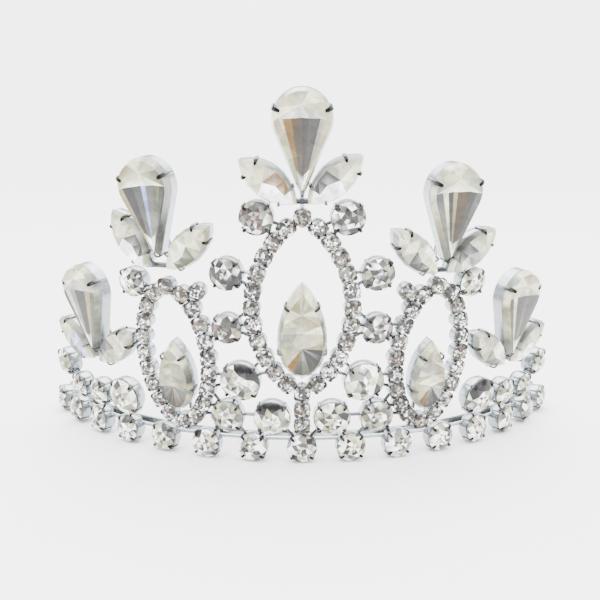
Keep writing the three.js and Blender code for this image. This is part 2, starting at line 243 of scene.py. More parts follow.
def inset(outline, distance):
    """Moves each point inwards along the mean normal of its two sides."""
    out = []
    count = len(outline)
    for k in range(count):
        p, q, r = (Vector(outline[(k + d) % count]) for d in (-1, 0, 1))
        before, after = (q - p).normalized(), (r - q).normalized()
        along = (before + after).normalized()
        out.append((q.x - along.y * distance, q.y + along.x * distance))
    return out


WIRE_END = 0.5  # size of the last ring of a wire, and its reach past the end, for each mm of radius
UP, SIDEWAYS = Vector((0, 0, 1)), Vector((1, 0, 0))


def tube(piece, points, radius, place, colour, sides=8):
    """A round wire along a line of points, with rounded ends."""
    points = [Vector(p) for p in points]
    rings, tones = [], []
    last = len(points) - 1
    for k, p in enumerate(points):
        ahead = (points[min(k + 1, last)] - points[max(k - 1, 0)]).normalized()
        side = ahead.cross(UP if abs(ahead.z) < 0.9 else SIDEWAYS).normalized()
        other = ahead.cross(side)
        steps = [(0, 1.0)]
        if k == 0:
            steps = [(-WIRE_END, WIRE_END), (0, 1.0)]
        if k == last:
            steps = [(0, 1.0), (WIRE_END, WIRE_END)]
        for shift, factor in steps:
            centre = p + ahead * radius * shift
            rings.append([
                centre + (side * math.cos(t) + other * math.sin(t)) * radius * factor
                for t in (2 * math.pi * i / sides for i in range(sides))
            ])
            tones.append(colour)
    loft(piece, rings, place, tones)


# ---- outlines, anticlockwise from the front ----


PEAR_SHOULDER = 2  # outline points between the middle of the round end and each straight side
BLUNT_HALF, BLUNT_UP, NOSE_UP = 0.5, 1.3, 1.05  # the pear's tip is blunted to these


def pear_outline(steps=26, side_steps=8):
    tangent = math.asin(PEAR_R / PEAR_TIP)
    points = []
    for k in range(steps + 1 + PEAR_SHOULDER):
        turn = math.pi * k / steps
        if k > steps:
            turn = math.pi + tangent * (k - steps) / PEAR_SHOULDER
        points.append((PEAR_R * math.cos(turn), PEAR_R * math.sin(turn)))
    end = points[-1]
    blunt = (-BLUNT_HALF, -PEAR_TIP + BLUNT_UP)
    left = [
        tuple(end[i] + (blunt[i] - end[i]) * k / side_steps for i in (0, 1))
        for k in range(1, side_steps + 1)
    ]
    below = points[steps + 1:] + left
    return points + left + [(0, -PEAR_TIP + NOSE_UP)] + [(-x, y) for x, y in reversed(below)]


def arc_half(half_height, half_width, height):
    """Half the width, at a height, between two equal arcs that meet in points."""
    radius = (half_height ** 2 + half_width ** 2) / (2 * half_width)
    return math.sqrt(max(0.0, radius ** 2 - height ** 2)) - (radius - half_width)


def leaf_outline(steps=14):
    side = []
    for k in range(steps):
        height = -LEAF_HALF * math.cos(math.pi * k / steps)
        side.append((max(0.0, arc_half(LEAF_HALF, LEAF_WIDTH, height)), height))
    return side + [(-x, -y) for x, y in side]


def drop_outline(size, steps=12):
    """Round below and pointed above; the origin is level with the widest place."""
    right = []
    for k in range(steps + 1):
        turn = math.pi / 2 * (1 - k / steps)
        right.append((size["half"] * math.cos(turn), -size["end"] * math.sin(turn)))
    for k in range(1, steps):
        height = size["tip"] * math.sin(math.pi / 2 * k / steps)
        right.append((arc_half(size["tip"], size["half"], height), height))
    return right + [(0, size["tip"])] + [(-x, y) for x, y in reversed(right[1:])]


def disc(radius, sides):
    turns = [2 * math.pi * k / sides for k in range(sides)]
    return [(radius * math.cos(turn), radius * math.sin(turn)) for turn in turns]


# ---- cups and claws ----


CUP_FRONT = -0.25  # level of a cup's front edge
CUP_INSET = 0.12

# Corners of a claw's section: shares of half its width and of half its thickness.
CLAW_SECTION = ((-1, -0.4), (-0.6, -1), (0.6, -1), (1, -0.4),
                (1, 0.4), (0.6, 1), (-0.6, 1), (-1, 0.4))


def cup(piece, outline, place, back):
    """An open claw cup that follows an outline: a rolled foot, a wall and a thin front edge."""
    body = inset(outline, CUP_INSET)
    front = CUP_FRONT
    rings = [
        ring(outline, back + 0.25, 0.6), ring(outline, back + 0.25, 0.64),
        ring(outline, back, 0.68), ring(outline, back, 0.84),
        ring(outline, back + 0.12, 0.92), ring(body, back + 0.55),
        ring(body, front - 0.12), ring(body, front, 0.985), ring(body, front - 0.02, 0.95),
        ring(body, front - 0.5, 0.94), ring(outline, back + 0.9, 0.78),
    ]
    # Painted shade: darker under the rolled foot and inside the cup, silver on the wall.
    tones = [GREY, SLATE, STEEL, STEEL, SILVER, SILVER, SILVER, STEEL, SLATE, COAL, COAL]
    loft(piece, rings, place, tones)


def claw(piece, x, y, facing, place, reach, width, over, root=-2.2, tip=CLAW_TIP_SHADE):
    """A flat claw from the cup's wall, over the girdle and on to the stone's crown.
    reach: how far in over the stone. root, over: the levels of its ends."""
    path = [(-0.1, root), (0.16, root + 0.2), (0.22, -0.9), (0.22, 0.1), (0.05, over * 0.75),
            (-reach * 0.5, over + 0.1), (-reach, over + 0.28)]
    widths = [1.0, 1.0, 1.0, 0.95, 0.85, 0.75, 0.5]
    thick = [0.3, 0.36, 0.36, 0.36, 0.38, 0.36, 0.24]
    # Painted shade: silver at the root, darkening to the tip's tone over the stone.
    colours = [SILVER, SILVER, SILVER, PALE, mix(STEEL, tip, 0.6), tip, tip]
    rings = []
    for k, (out, level) in enumerate(path):
        before, after = path[max(k - 1, 0)], path[min(k + 1, len(path) - 1)]
        run = Vector((after[0] - before[0], after[1] - before[1])).normalized()
        normal = Vector((run.y, -run.x))
        half, deep = width * widths[k] / 2, thick[k] / 2
        rings.append([(out + normal.x * deep * t, half * s, level + normal.y * deep * t)
                      for s, t in CLAW_SECTION])
    local = Matrix.Translation((x, y, 0)) @ Matrix.Rotation(facing, 4, "Z")
    loft(piece, rings, place @ local, colours)


def claw_pair(piece, x, y, facing, place, reach, width, over, tip=CLAW_TIP_SHADE):
    """A claw, and its mirror image on the left."""
    claw(piece, x, y, facing, place, reach, width, over, tip=tip)
    claw(piece, -x, y, math.pi - facing, place, reach, width, over, tip=tip)


def four_claws(piece, out, place, rng, tips, reach, width, over, root):
    """Claws at the four corners of a round cup."""
    for k in range(4):
        facing = math.pi / 4 + k * math.pi / 2
        x, y = out * math.cos(facing), out * math.sin(facing)
        claw(piece, x, y, facing, place, reach, width, over, root, rng.choice(tips))


# ---- stones ----


FOLDS = 8  # of a round brilliant's facets

# A round brilliant's levels and widths, as shares of its radius.
CHATON_RISE, HUB_RISE, HEART_RISE, KEEL_DEPTH = 0.36, 0.05, 0.035, 0.6
HEART_WIDTHS, TABLE_WIDTH, STAR_WIDTH = (0.2, 0.32), 0.52, 0.78
STAR_LEVEL = 0.6  # share of the crown's height
HALF_GIRDLE = 0.12


def chaton(piece, radius, place, rng, palette, height=None, spin=0.0, shadow=None):
    """A round brilliant: table wedges, star, kite and upper girdle facets, and a foiled back.
    shadow: the stretch of the rim, in degrees, whose facets are black."""
    height = height or radius * CHATON_RISE
    points, faces = [], []
    step = 2 * math.pi / FOLDS

    def put(r, turn, level):
        points.append((r * math.cos(turn + spin), r * math.sin(turn + spin), level))
        return len(points) - 1

    def pick():
        return rng.choice(palette)

    hub = put(0, 0, height + HUB_RISE * radius)
    heart = [
        put(radius * rng.uniform(*HEART_WIDTHS), (k + 0.5) * step, height + HEART_RISE * radius)
        for k in range(FOLDS)
    ]
    table = [put(radius * TABLE_WIDTH, k * step, height) for k in range(FOLDS)]
    middle = [
        put(radius * STAR_WIDTH, (k + 0.5) * step, height * STAR_LEVEL) for k in range(FOLDS)
    ]
    rim = [put(radius, k * step / 2, HALF_GIRDLE) for k in range(2 * FOLDS)]
    low = [put(radius, k * step / 2, -HALF_GIRDLE) for k in range(2 * FOLDS)]
    keel = put(0, 0, -radius * KEEL_DEPTH)

    def edge(turn):
        bearing = math.degrees(turn + spin) % 360
        return BLACK if shadow and shadow[0] < bearing < shadow[1] else pick()

    # Painted reflections: a palette tone on each crown facet; the shadow stretch is painted black.
    for k in range(FOLDS):
        n = (k + 1) % FOLDS
        a, b = pick(), pick()
        faces.append(((hub, heart[k], heart[n]), (a, b, mix(a, b, 0.4))))
        faces.append(((heart[k], table[k], table[n]), pick()))
        faces.append(((heart[k], table[n], heart[n]), pick()))
        faces.append(((table[k], middle[k], table[n]), pick()))
        kite = edge(k * step)
        kite_tones = (kite, kite, edge(k * step), kite)
        faces.append(((table[k], middle[k - 1], rim[2 * k], middle[k]), kite_tones))
        faces.append(((middle[k], rim[2 * k], rim[2 * k + 1]), edge((k + 0.25) * step)))
        faces.append(((middle[k], rim[2 * k + 1], rim[2 * n]), edge((k + 0.75) * step)))
    for k in range(2 * FOLDS):
        n = (k + 1) % (2 * FOLDS)
        faces.append(((rim[k], low[k], low[n], rim[n]), PALE))
        faces.append(((low[k], keel, low[n]), GREY))
    piece.add(points, faces, place, GEM)


RIM_LEVELS = (0.18, -0.2)  # of the two edges of a fancy stone's girdle
BACK_SHARE = 0.5  # width of its flat back, as a share of its outline


def cut_stone(piece, outline, place, table_points, table_faces, table_tones, depth, rim_tones):
    """A fancy-shaped stone: bevelled crown facets round a table that is itself cut into facets.
    table_points start with the table's edge, one point for each point of the outline."""
    count = len(outline)
    points = [*table_points]
    start = len(points)
    for level in RIM_LEVELS:
        points += ring(outline, level)
    points += ring(outline, -depth, BACK_SHARE)
    faces = list(zip(table_faces, table_tones))
    for k in range(count):
        n = (k + 1) % count
        a, b = rim_tones[k], rim_tones[n]
        faces.append(((start + k, start + n, n, k), (a, b, b, a)))
        low = start + count
        faces.append(((low + k, low + n, start + n, start + k), PALE))
        faces.append(((low + count + k, low + count + n, low + n, low + k), IVORY))
    faces.append((tuple(reversed(range(start + 2 * count, start + 3 * count))), GREY))
    piece.add(points, faces, place, GEM)


RIM_SPREAD = 0.25  # how far a crown facet's tone strays at most


def rim_palette(count, groups, rng):
    """Tones round a crown: a run of facets for each tone in groups, each facet a little off it."""
    # The tones are painted reflections in the crown's facets.
    tones = [groups[int(k / count * len(groups))] for k in range(count)]
    return [mix(t, rng.choice([WHITE, GREY, IVORY]), rng.random() * RIM_SPREAD) for t in tones]


# Fancy stones: how much narrower and shorter the table is than the outline, its level above the
# girdle, and the stone's depth below it.
PEAR_TABLE, PEAR_LEVEL, PEAR_DEPTH = 0.91, 2.0, 2.3
LEAF_TABLE, LEAF_LEVEL, LEAF_DEPTH = (0.84, 0.88), 1.55, 1.9
DROP_TABLE, DROP_LEVEL, DROP_DEPTH = (0.84, 0.86), 2.0, 2.2


def pear_stone(piece, place, rng, wedges, caps):
    """wedges: (tone, share of the width) of the long facets below the shoulder line, left to
    right. caps: tones of the fan above it, right to left."""
    # All these tones are painted reflections: the long facets mostly dark, the tip and fan light.
    steps, side_steps = 14, 4
    outline = pear_outline(steps, side_steps)
    count = len(outline)
    level = PEAR_LEVEL
    table = ring(outline, level, PEAR_TABLE)
    points = list(table)
    right, left = 0, steps  # level with the middle of the round end
    line_y = table[right][1]
    width = table[right][0]
    tip_y = -PEAR_TIP * 0.68  # where the long facets meet those of the tip
    faces, tones = [], []
    n = len(wedges)
    total = sum(share for _, share in wedges)
    edges = [
        -width + 2 * width * sum(share for _, share in wedges[:k]) / total for k in range(n + 1)
    ]
    tops, ends = [], []
    for k, x in enumerate(edges):
        if k == 0:
            tops.append(left)
        elif k == n:
            tops.append(right)
        else:
            bulge = line_y + 0.5 - 0.5 * (x / width) ** 2 + 0.12 * (k % 2)
            points.append((x, bulge, level + 0.2 * math.cos(x / width * 1.4)))
            tops.append(len(points) - 1)
    for x in edges[1:-1]:
        points.append((x * 0.32, tip_y + 0.3 * abs(x), level + 0.02))
        ends.append(len(points) - 1)
    tip = left + PEAR_SHOULDER + side_steps + 1
    lower_left = list(range(left + 1, tip))
    lower_right = list(reversed(range(tip + 1, count)))
    for k in range(n):
        colour = wedges[k][0]
        far = mix(colour, rng.choice([GREY, PALE, MAUVE]), 0.4)
        if k == 0:
            faces.append((tops[0], *lower_left, tip, ends[0], tops[1]))
            tones.append([colour] * (len(lower_left) + 1) + [far, far, colour])
        elif k == n - 1:
            faces.append((tops[k], ends[k - 1], tip, *reversed(lower_right), right))
            tones.append([colour, far, far] + [colour] * (len(lower_right) + 1))
        else:
            faces.append((tops[k], ends[k - 1], ends[k], tops[k + 1]))
            tones.append([colour, far, far, colour])
            end = rng.choice([CREAM, WHITE, PALE, IVORY, GREY])
            faces.append((ends[k - 1], tip, ends[k]))
            tones.append([end, WHITE, end])
    points.append((rng.uniform(-0.6, 0.6), line_y + width * 0.55, level + 0.35))
    crest = len(points) - 1
    arc = list(range(right, left + 1))
    fan = len(caps)
    for k in range(len(arc) - 1):
        colour = caps[int(k / (len(arc) - 1) * fan)]
        other = mix(colour, CREAM, 0.6)
        faces.append((arc[k], arc[k + 1], crest))
        tones.append([colour, colour, other])
    for k in range(n):
        colour = mix(caps[fan // 2], WHITE, 0.15 + 0.15 * (k % 2))
        faces.append((tops[k], tops[k + 1], crest))
        tones.append([colour, colour, mix(colour, caps[0], 0.5)])
    rims = rim_palette(count, [PALE, IVORY, CREAM, PALE, CREAM, IVORY, PALE, GREY, PALE], rng)
    cut_stone(piece, outline, place, points, faces, tones, PEAR_DEPTH, rims)


def keeled_table(points, hubs, tone_of, rng):
    """Facets of a long table from its edge to a broken ridge line. points: the edge, then the
    ridge points named by hubs, in order of height; tone_of gives a facet's tone from its middle."""
    count = len(points) - len(hubs)
    faces, tones, nearest = [], [], []
    for k in range(count):
        n = (k + 1) % count
        y = (points[k][1] + points[n][1]) / 2
        nearest.append(min(hubs, key=lambda h: abs(points[h][1] - y)))
        hub = nearest[-1]
        # Painted reflections: each facet takes tone_of's tone, shifted a little at the ridge.
        colour = tone_of((points[k][0] + points[n][0]) / 2, y)
        faces.append((k, n, hub))
        tones.append([colour, colour, mix(colour, rng.choice([WHITE, CREAM, GREY]), 0.2)])
    for k in range(count):
        one, other = nearest[k - 1], nearest[k]
        low, high = sorted((hubs.index(one), hubs.index(other)))
        for h in range(low, high):
            colour = tone_of(points[k][0] * 0.6, points[k][1])
            faces.append((hubs[h], hubs[h + 1], k))
            # Painted highlight: lighter at the ridge.
            tones.append([mix(colour, WHITE, 0.25), colour, colour])
    return faces, tones


def leaf_stone(piece, place, rng, dark, bright):
    """dark and bright: tones of the large facets towards the root end."""
    outline = leaf_outline(8)
    points = [(x * LEAF_TABLE[0], y * LEAF_TABLE[1], LEAF_LEVEL) for x, y in outline]
    side = rng.choice([-1, 1])
    count = len(points)
    ridge = ((side * 0.2, -4.6, 0.12), (side * 0.7, -1.9, 0.3), (-side * 0.4, 0.9, 0.34),
             (0.1, 3.8, 0.22))
    points += [(x, y, LEAF_LEVEL + lift) for x, y, lift in ridge]
    hubs = list(range(count, len(points)))

    # Painted reflections: near the root one side dark and the other bright; the tip end light.
    def tone_of(x, y):
        if y < 0.8 and x * side > 0:
            return dark if y > -4.3 else mix(bright, GREY, 0.3)
        if y < 0.8:
            return mix(bright, rng.choice([WHITE, PALE]), 0.3)
        return mix(rng.choice([IVORY, CREAM, PALE, OLIVE, SAND, GREY]), CREAM, 0.45)

    faces, tones = keeled_table(points, hubs, tone_of, rng)
    rims = rim_palette(count, [CREAM, PALE, IVORY, PALE, GREY, CREAM], rng)
    cut_stone(piece, outline, place, points, faces, tones, LEAF_DEPTH, rims)


def drop_stone(piece, size, place, rng, wedges):
    """wedges: tones of the facets in the round end, left to right."""
    outline = drop_outline(size, 8)
    count = len(outline)
    tip, end, half = size["tip"], size["end"], size["half"]
    points = [(x * DROP_TABLE[0], y * DROP_TABLE[1], DROP_LEVEL) for x, y in outline]
    ridge = ((0.0, -end * 0.12, 0.32), (0.2, tip * 0.2, 0.42), (-0.1, tip * 0.52, 0.25))
    points += [(x, y, DROP_LEVEL + lift) for x, y, lift in ridge]
    hubs = list(range(count, len(points)))
    n = len(wedges)

    # Painted reflections: light above the widest place, the wedges' tones in the round end.
    def tone_of(x, y):
        if y > -0.22 * end:
            return rng.choice([IVORY, CREAM, SAND, IVORY, PALE, mix(IVORY, OLIVE, 0.3)])
        return wedges[max(0, min(n - 1, int((x / (half * DROP_TABLE[0]) + 1) / 2 * n)))]

    faces, tones = keeled_table(points, hubs, tone_of, rng)
    rims = rim_palette(count, [PALE, IVORY, GREY, CREAM, IVORY, CREAM, PALE, IVORY, PALE], rng)
    cut_stone(piece, outline, place, points, faces, tones, DROP_DEPTH, rims)


# ---- materials ----


def make_material(name):
    material = bpy.data.materials.new(name)
    material.use_nodes = True
    nodes = material.node_tree.nodes
    return material, nodes, material.node_tree.links, nodes["Principled BSDF"]


def mapped_noise(nodes, links, scale, detail=2.0):
    coords = nodes.new("ShaderNodeTexCoord")
    noise = nodes.new("ShaderNodeTexNoise")
    noise.inputs["Scale"].default_value = scale
    noise.inputs["Detail"].default_value = detail
    links.new(coords.outputs["Object"], noise.inputs["Vector"])
    return noise


def stretched(nodes, links, value, low, high, start=0.0, stop=1.0):
    """A value from start to stop, spread from low to high."""
    node = nodes.new("ShaderNodeMapRange")
    ends = {"From Min": start, "From Max": stop, "To Min": low, "To Max": high}
    for name, number in ends.items():
        node.inputs[name].default_value = number
    links.new(value, node.inputs["Value"])
    return node.outputs["Result"]


def multiplied(nodes, links, colour, by):
    node = nodes.new("ShaderNodeMix")
    node.data_type = "RGBA"
    node.blend_type = "MULTIPLY"
    node.inputs["Factor"].default_value = 1
    links.new(colour, node.inputs["A"])
    links.new(by, node.inputs["B"])
    return node.outputs["Result"]


def tinted(nodes, links, noise, low, high):
    """The painted tone, times a grey that follows the noise."""
    paint = nodes.new("ShaderNodeVertexColor")
    paint.layer_name = "tone"
    grey = stretched(nodes, links, noise.outputs["Fac"], low, high, 0.3, 0.7)
    return multiplied(nodes, links, paint.outputs["Color"], grey)


def reflection_patches(nodes, links, scale, low, high):
    """Angular patches of light and shade, as from the facets behind the front of a stone."""
    coords = nodes.new("ShaderNodeTexCoord")
    cells = nodes.new("ShaderNodeTexVoronoi")
    cells.inputs["Scale"].default_value = scale
    links.new(coords.outputs["Object"], cells.inputs["Vector"])
    split = nodes.new("ShaderNodeSeparateColor")
    links.new(cells.outputs["Color"], split.inputs["Color"])
    return stretched(nodes, links, split.outputs["Red"], low, high)


def crystal_material():
    material, nodes, links, shader = make_material("foiled_crystal")
    # The base colour: painted reflections from the tone layer, times noise and reflection patches.
    noise = mapped_noise(nodes, links, 300.0, 3.0)
    colour = tinted(nodes, links, noise, 0.8, 1.1)
    for scale, low, high in ((330.0, 0.72, 1.22), (900.0, 0.8, 1.12)):
        colour = multiplied(nodes, links, colour, reflection_patches(nodes, links, scale, low, high))
    links.new(colour, shader.inputs["Base Color"])
    rough = stretched(nodes, links, noise.outputs["Fac"], 0.04, 0.14)
    links.new(rough, shader.inputs["Roughness"])
    shader.inputs["Specular IOR Level"].default_value = 0.3
    shader.inputs["Coat Weight"].default_value = 0.15
    shader.inputs["Coat Roughness"].default_value = 0.02
    return material


def silver_material():
    material, nodes, links, shader = make_material("silver_plate")
    noise = mapped_noise(nodes, links, 900.0, 4.0)
    links.new(tinted(nodes, links, noise, 0.86, 1.04), shader.inputs["Base Color"])
    shader.inputs["Metallic"].default_value = 1.0
    rough = stretched(nodes, links, noise.outputs["Fac"], 0.12, 0.34)
    links.new(rough, shader.inputs["Roughness"])
    bump = nodes.new("ShaderNodeBump")
    bump.inputs["Strength"].default_value = 0.12
    bump.inputs["Distance"].default_value = 0.0001
    links.new(noise.outputs["Fac"], bump.inputs["Height"])
    links.new(bump.outputs["Normal"], shader.inputs["Normal"])
    return material


crystal = crystal_material()
silver = silver_material()

# ---- the motifs ----

# The stones' tones below are all painted reflections.
# The pears' tones: the long facets with their shares of the width, left to right, then the fan
# above them, right to left.
PEARS = {
    "centre": (
        [(IVORY, 2), (AMBER, 2), (BROWN, 2.4), (COAL, 1.6), (SLATE, 2.6), (PALE, 1.2),
         (IVORY, 1.2)],
        [IVORY, CREAM, PALE, IVORY, CREAM]),
    "left": (
        [(SAND, 1), (COAL, 2.6), (SLATE, 2), (BLUE, 1.1), (GREY, 1.8), (OLIVE, 1.4), (COAL, 1)],
        [OLIVE, IVORY, CREAM, SAND, IVORY]),
    "right": (
        [(GREY, 1.4), (CREAM, 1.2), (COAL, 1.2), (SAND, 1), (BROWN, 3), (SLATE, 1.6), (GREY, 1.4)],
        [PALE, IVORY, CREAM, IVORY, PALE]),
    "far_left": (
        [(COAL, 0.8), (CREAM, 1.6), (PALE, 1.6), (COAL, 3.2), (SAND, 1.6), (OLIVE, 1)],
        [PALE, CREAM, PALE, IVORY, CREAM]),
    "far_right": (
        [(BROWN, 0.9), (CREAM, 1.2), (SLATE, 2.6), (MAUVE, 1.2), (SLATE, 3), (OLIVE, 1)],
        [CREAM, IVORY, SAND, CREAM, IVORY]),
}
# The leaves' dark and bright tones, left and right: painted reflections.
LEAVES = {
    "centre": [(AMBER, WHITE), (COAL, WHITE)],
    "left": [(COAL, WHITE), (OLIVE, CREAM)],
    "right": [(COAL, CREAM), (COAL, PALE)],
    "far_left": [(COAL, BLUE), (COAL, IVORY)],
    "far_right": [(OLIVE, CREAM), (PALE, WHITE)],
}
# The drops' facet tones in the round end, left to right: painted reflections.
DROP_TONES = {
    "centre": [IVORY, AMBER, COAL, OLIVE, SLATE, COAL],
    "left": [SLATE, COAL, BROWN, BROWN, MAUVE, GREY],
    "right": [IVORY, AMBER, BROWN, COAL, COAL, PALE],
}
# Palettes of painted reflections for the round stones' crown facets.
MIXED = [COAL, SLATE, GREY, PALE, WHITE, IVORY, MAUVE, COAL, WHITE, PALE]
DARK_MIX = [BLACK, COAL, COAL, SLATE, GREY, PALE, WHITE, MAUVE, WHITE]
WARM_MIX = [MAUVE, COAL, ROSE, GREY, PALE, WHITE, SLATE, IVORY, MAUVE]
LIGHT_MIX = [PALE, CREAM, WHITE, GREY, IVORY, SLATE, CREAM, COAL, WHITE, PALE, WHITE, IVORY]
SPARKLE = [WHITE, WHITE, CREAM, PALE, GREY, PALE, COAL, WHITE, MAUVE, IVORY, WHITE, SLATE]


PEAR_BACK, LEAF_BACK, DROP_BACK = -3.6, -3.0, -3.4  # levels of the cups' backs
RIB_LEVEL = -5  # of the ribs that hold the pear and drop cups
WIRE_R = 0.5
CLAW_HEIGHT = 0.62  # share of a leaf's or drop's reach at which its claws stand


def make_pear(motif):
    sign = -1 if motif["angle"] < 0 else 1
    turn = -sign * math.radians(motif["lean"])
    place = seat_across(math.radians(motif["angle"]), motif["shift"], motif["joint"], turn)
    place = place @ Matrix.Translation((0, motif["pear_up"] - motif["joint"], 0))
    name = motif["name"]
    rng = random.Random(name)
    stone = Piece()
    pear_stone(stone, place, rng, *PEARS[name])
    stone.finish(name + "_pear_stone")
    setting = Piece()
    cup(setting, pear_outline(), place, PEAR_BACK)
    for bearing in (22, 158):
        facing = math.radians(bearing)
        x, y = PEAR_R * math.cos(facing), PEAR_R * math.sin(facing)
        claw(setting, x, y, facing, place, 1.5, 1.2, 2.0)
    claw(setting, 0, -PEAR_TIP + 1.1, -math.pi / 2, place, 1.2, 0.9, 1.8, tip=STEEL)
    bottom = -PEAR_TIP - 3.9
    rib = [(0, -9, -3.4), (0, -12, -4.3), (0, -PEAR_TIP + 3, RIB_LEVEL), (0, bottom, RIB_LEVEL)]
    tube(setting, rib, WIRE_R, place, SILVER)
    setting.finish(name + "_pear_setting")


def make_leaves(motif):
    name = motif["name"]
    setting = Piece()
    for index, (root, lift) in enumerate(motif["leaves"]):
        sign = -1 if index == 0 else 1
        rise = math.radians(lift)
        across = sign * (root + LEAF_HALF * math.cos(rise))
        up = motif["joint"] + LEAF_ROOT_UP + LEAF_HALF * math.sin(rise)
        place = seat_across(math.radians(motif["angle"]), across, up, -sign * (math.pi / 2 - rise))
        letter = "ab"[index]
        stone = Piece()
        leaf_stone(stone, place, random.Random(name + letter), *LEAVES[name][index])
        stone.finish(f"{name}_leaf_stone_{letter}")
        cup(setting, leaf_outline(), place, LEAF_BACK)
        arc = (LEAF_HALF ** 2 + LEAF_WIDTH ** 2) / (2 * LEAF_WIDTH)
        height = LEAF_HALF * CLAW_HEIGHT
        x = arc_half(LEAF_HALF, LEAF_WIDTH, height)
        facing = math.atan2(height, x + arc - LEAF_WIDTH)
        claw_pair(setting, x, height, facing, place, 1.0, 0.85, 1.5)
        claw_pair(setting, x, -height, -facing, place, 1.0, 0.7, 1.4, STEEL)
    middle = seat(math.radians(motif["angle"]), motif["joint"])
    left, right = (root + 1.4 for root, _ in motif["leaves"])
    line = [(-left, LEAF_ROOT_UP, -2.4), (0, LEAF_ROOT_UP, -2.6), (right, LEAF_ROOT_UP, -2.4)]
    tube(setting, line, 0.7, middle, STEEL)
    setting.finish(name + "_leaf_setting")


def loop_points(size):
    """Across, up and turn of each chain cup, at equal steps round a loop from its top."""
    fine = 400  # points on each half of the finely divided line
    top, bottom, half, bow = size["top"], size["bottom"], size["half"], size["bow"]
    right = []
    for k in range(fine + 1):
        turn = math.pi * k / fine
        up = (top + bottom) / 2 + (top - bottom) / 2 * math.cos(turn)
        right.append((half * max(0.0, math.sin(turn)) ** (2 * bow), up))
    line = right + [(-x, y) for x, y in reversed(right[1:-1])] + [right[0]]
    lengths = [0.0]
    for a, b in zip(line, line[1:]):
        lengths.append(lengths[-1] + math.dist(a, b))
    total = lengths[-1]
    count = 2 * round(total / CHAIN_PITCH / 2)
    out, k = [], 0
    for step in range(count):
        want = total * step / count
        while lengths[k + 1] < want:
            k += 1
        t = (want - lengths[k]) / (lengths[k + 1] - lengths[k])
        a, b = line[k], line[k + 1]
        x, y = a[0] + (b[0] - a[0]) * t, a[1] + (b[1] - a[1]) * t
        out.append((x, y, math.atan2(b[1] - a[1], b[0] - a[0])))
    return out


def chain_unit(piece, place, rng):
    body = disc(2.1, 16)
    rings = [ring(body, -2.7, 0.82), ring(body, -2.55, 0.96), ring(body, -2.2), ring(body, -0.35),
             ring(body, -0.15, 0.99), ring(body, -0.2, 0.96), ring(body, -0.9, 0.86)]
    # Painted shade: the cup darkens to black inside, behind its front edge.
    loft(piece, rings, place, [STEEL, PALE, SILVER, SILVER, GREY, SLATE, BLACK])
    palette = rng.choice([MIXED, DARK_MIX, WARM_MIX])
    chaton(piece, 2.02, place, rng, palette, height=0.8, spin=rng.uniform(0, 0.8))
    # The claws' tips: painted shade and reflection, a tone picked at random for each.
    tips = [SLATE, GREY, PALE, MAUVE, SILVER]
    four_claws(piece, 2.0, place, rng, tips, 0.5, 0.95, over=0.45, root=-1.2)


def chain_tie(piece, angle, one, other):
    """A short bar behind two neighbouring chain cups."""
    across, rise = other[0] - one[0], other[1] - one[1]
    reach = math.hypot(across, rise) / 2 - 1.2
    middle = (one[0] + other[0]) / 2, (one[1] + other[1]) / 2
    place = seat_across(angle, *middle, math.atan2(rise, across))
    tube(piece, [(x, 0, -1.7) for x in (-reach, 0, reach)], WIRE_R, place, STEEL, 6)


def make_loop(motif):
    name = motif["name"]
    angle = math.radians(motif["angle"])
    rng = random.Random(name + "loop")
    units = loop_points(LOOPS[motif["loop"]])
    ties = [(units[k], units[(k + 1) % len(units)]) for k in range(len(units))]
    if motif["loop"] == "tall":
        above = units[len(units) // 2]
        for up in STEM:
            below = (0, up, 0)
            ties.append((above, below))
            units.append(below)
            above = below
    else:
        side = -1 if motif["angle"] < 0 else 1
        radius = ARC + LINK[1] * math.sin(FLARE)
        link = (side * math.radians(LINK[0] - abs(motif["angle"])) * radius, LINK[1], math.pi / 4)
        ties.append((link, units[1] if side < 0 else units[-1]))
        units.append(link)
    piece = Piece()
    for x, up, turn in units:
        chain_unit(piece, seat_across(angle, x, up, turn), rng)
    for one, other in ties:
        chain_tie(piece, angle, one, other)
    piece.finish(name + "_loop_chain", name + "_loop_detail")


def make_drop(motif):
    name = motif["name"]
    size = DROPS[motif["loop"]]
    place = seat_across(math.radians(motif["angle"]), 0, size["up"])
    stone = Piece()
    drop_stone(stone, size, place, random.Random(name + "drop"), DROP_TONES[name])
    stone.finish(name + "_drop_stone")
    setting = Piece()
    cup(setting, drop_outline(size), place, DROP_BACK)
    arc = (size["tip"] ** 2 + size["half"] ** 2) / (2 * size["half"])
    height = size["tip"] * CLAW_HEIGHT
    x = arc_half(size["tip"], size["half"], height)
    facing = math.atan2(height, x + arc - size["half"])
    claw_pair(setting, x, height, facing, place, 1.1, 0.85, 1.9, COAL)
    low = math.radians(-18)
    x, y = size["half"] * math.cos(low), size["end"] * math.sin(low)
    facing = math.atan2(y / size["end"] ** 2, x / size["half"] ** 2)
    claw_pair(setting, x, y, facing, place, 1.1, 0.8, 1.8, STEEL)
    end = -size["end"]
    rib = [(0, end + 4, -3.3), (0, end + 2, -4.2), (0, end, RIB_LEVEL), (0, end - 2.5, RIB_LEVEL)]
    tube(setting, rib, WIRE_R, place, SILVER)
    setting.finish(name + "_drop_setting")


# ---- round stones ----

# Which palette of painted reflections each named round stone takes; the rest take LIGHT_MIX.
ROUND_MIX = {
    "flank_left": WARM_MIX, "flank_right": DARK_MIX, "bridge_upper_left": DARK_MIX,
    "bridge_upper_right": MIXED, "bridge_lower_left": WARM_MIX, "bridge_lower_right": MIXED,
}

# Stretches of the rim, in degrees, that are black.
ROUND_SHADOW = {
    "bay_inner_left": (15, 110), "bay_outer_right": (30, 160), "gallery_inner_left": (70, 150),
}
ROUND_DEPTH = 3.6


